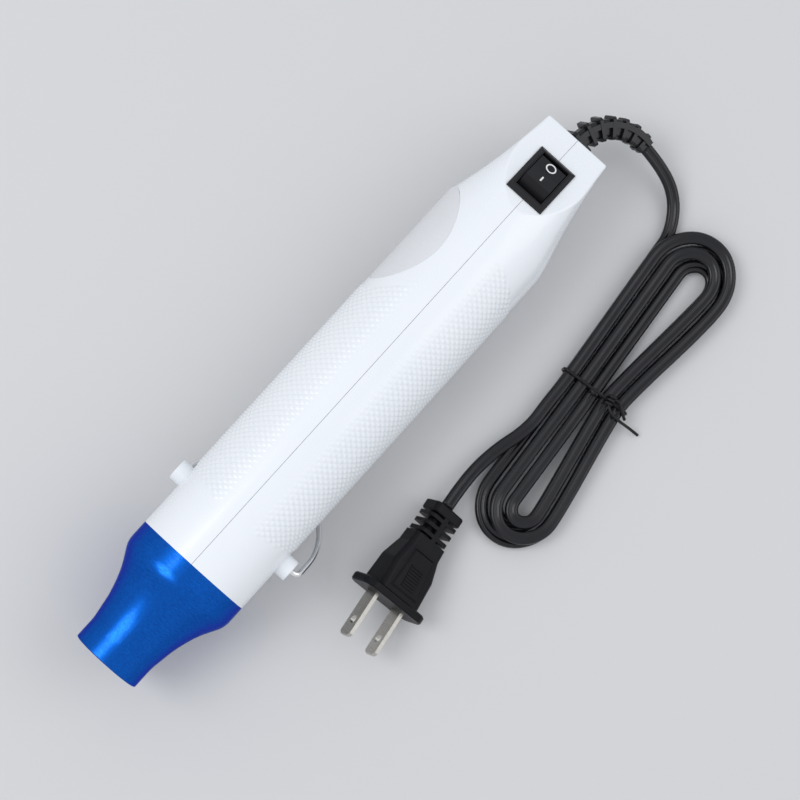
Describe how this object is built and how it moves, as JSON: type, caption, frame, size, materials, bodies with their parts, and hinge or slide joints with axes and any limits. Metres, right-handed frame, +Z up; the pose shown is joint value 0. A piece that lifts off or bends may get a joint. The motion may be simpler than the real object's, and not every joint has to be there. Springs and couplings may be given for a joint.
{
  "type": "embossing heat tool",
  "caption": "Slim white pencil-grip hot-air tool with a blue metal nozzle, a wire bail stand, a rocker switch on a slanted tail face and a tied flat mains cord.",
  "frame": {"origin": "on the table under the middle of the tool's length and under its long axis, where the tool lies on its folded stand", "axes": "+X along the tool to the nozzle mouth, +Y to the side where the cord's hank lies, +Z up from the table"},
  "size_m": [0.2632, 0.1121, 0.0463],
  "materials": {
    "casing_white": "gloss",
    "label_silver": "satin",
    "screw_steel": "satin",
    "stand_chrome": "polished",
    "nozzle_blue": "brushed, blue anodised",
    "grille_steel": "satin",
    "bright_steel": "satin",
    "mica": "matte",
    "coil_wire": "satin",
    "cutout_brass": "satin",
    "wire_red": "matte",
    "inner_black": "matte",
    "fan_grey": "matte",
    "motor_steel": "satin",
    "bush_brass": "satin",
    "magnet_grey": "matte",
    "armature_steel": "satin",
    "board_green": "satin",
    "capacitor_blue": "satin",
    "wire_black": "matte",
    "switch_black": "satin",
    "terminal_brass": "satin",
    "cord_black": "satin",
    "blade_nickel": "polished nickel plate",
    "tie_black": "satin"
  },
  "bodies": {
    "casing": {"casing_left": "casing_white", "casing_right": "casing_white", "label_plate": "label_silver", "casing_screws": "screw_steel", "nozzle": "nozzle_blue", "nozzle_grille": "grille_steel", "heater_tube": "bright_steel", "mica_sleeve": "mica", "mica_cross": "mica", "heater_coil": "coil_wire", "heater_disc": "mica", "thermal_cutout": "cutout_brass", "heater_leads": "wire_red", "fan_shroud": "inner_black", "air_duct": "inner_black", "motor_can": "motor_steel", "motor_end_cap": "inner_black", "motor_bushes": "bush_brass", "motor_magnets": "magnet_grey", "motor_leads": "wire_red", "rectifier_board": "board_green", "diodes": "inner_black", "capacitor": "capacitor_blue", "supply_wires": "wire_black", "switch_housing": "switch_black", "switch_terminals": "terminal_brass", "strain_relief": "cord_black", "cord_clamp": "fan_grey", "clamp_screws": "screw_steel", "plug_body": "cord_black", "plug_blades": "blade_nickel", "cord_lead": "cord_black", "cord_hank": "cord_black", "cord_tail": "cord_black", "cord_tie": "tie_black"},
    "fan_rotor": {"fan": "fan_grey", "motor_armature": "armature_steel", "motor_shaft": "bright_steel"},
    "rocker": {"switch_rocker": "switch_black"},
    "stand": {"stand_wire": "stand_chrome"}
  },
  "joints": [
    {"name": "fan_spin", "type": "hinge", "parent": "casing", "child": "fan_rotor", "pos_m": [0, 0, 0.0243], "axis": [1, 0, 0], "continuous": true},
    {"name": "switch_rock", "type": "hinge", "parent": "casing", "child": "rocker", "pos_m": [-0.09721, 0, 0.03624], "axis": [0, 1, 0], "range_deg": [0, 22]},
    {"name": "stand_swing", "type": "hinge", "parent": "casing", "child": "stand", "pos_m": [0.0562, 0, 0.0243], "axis": [0, -1, 0], "range_deg": [0, 90]}
  ]
}
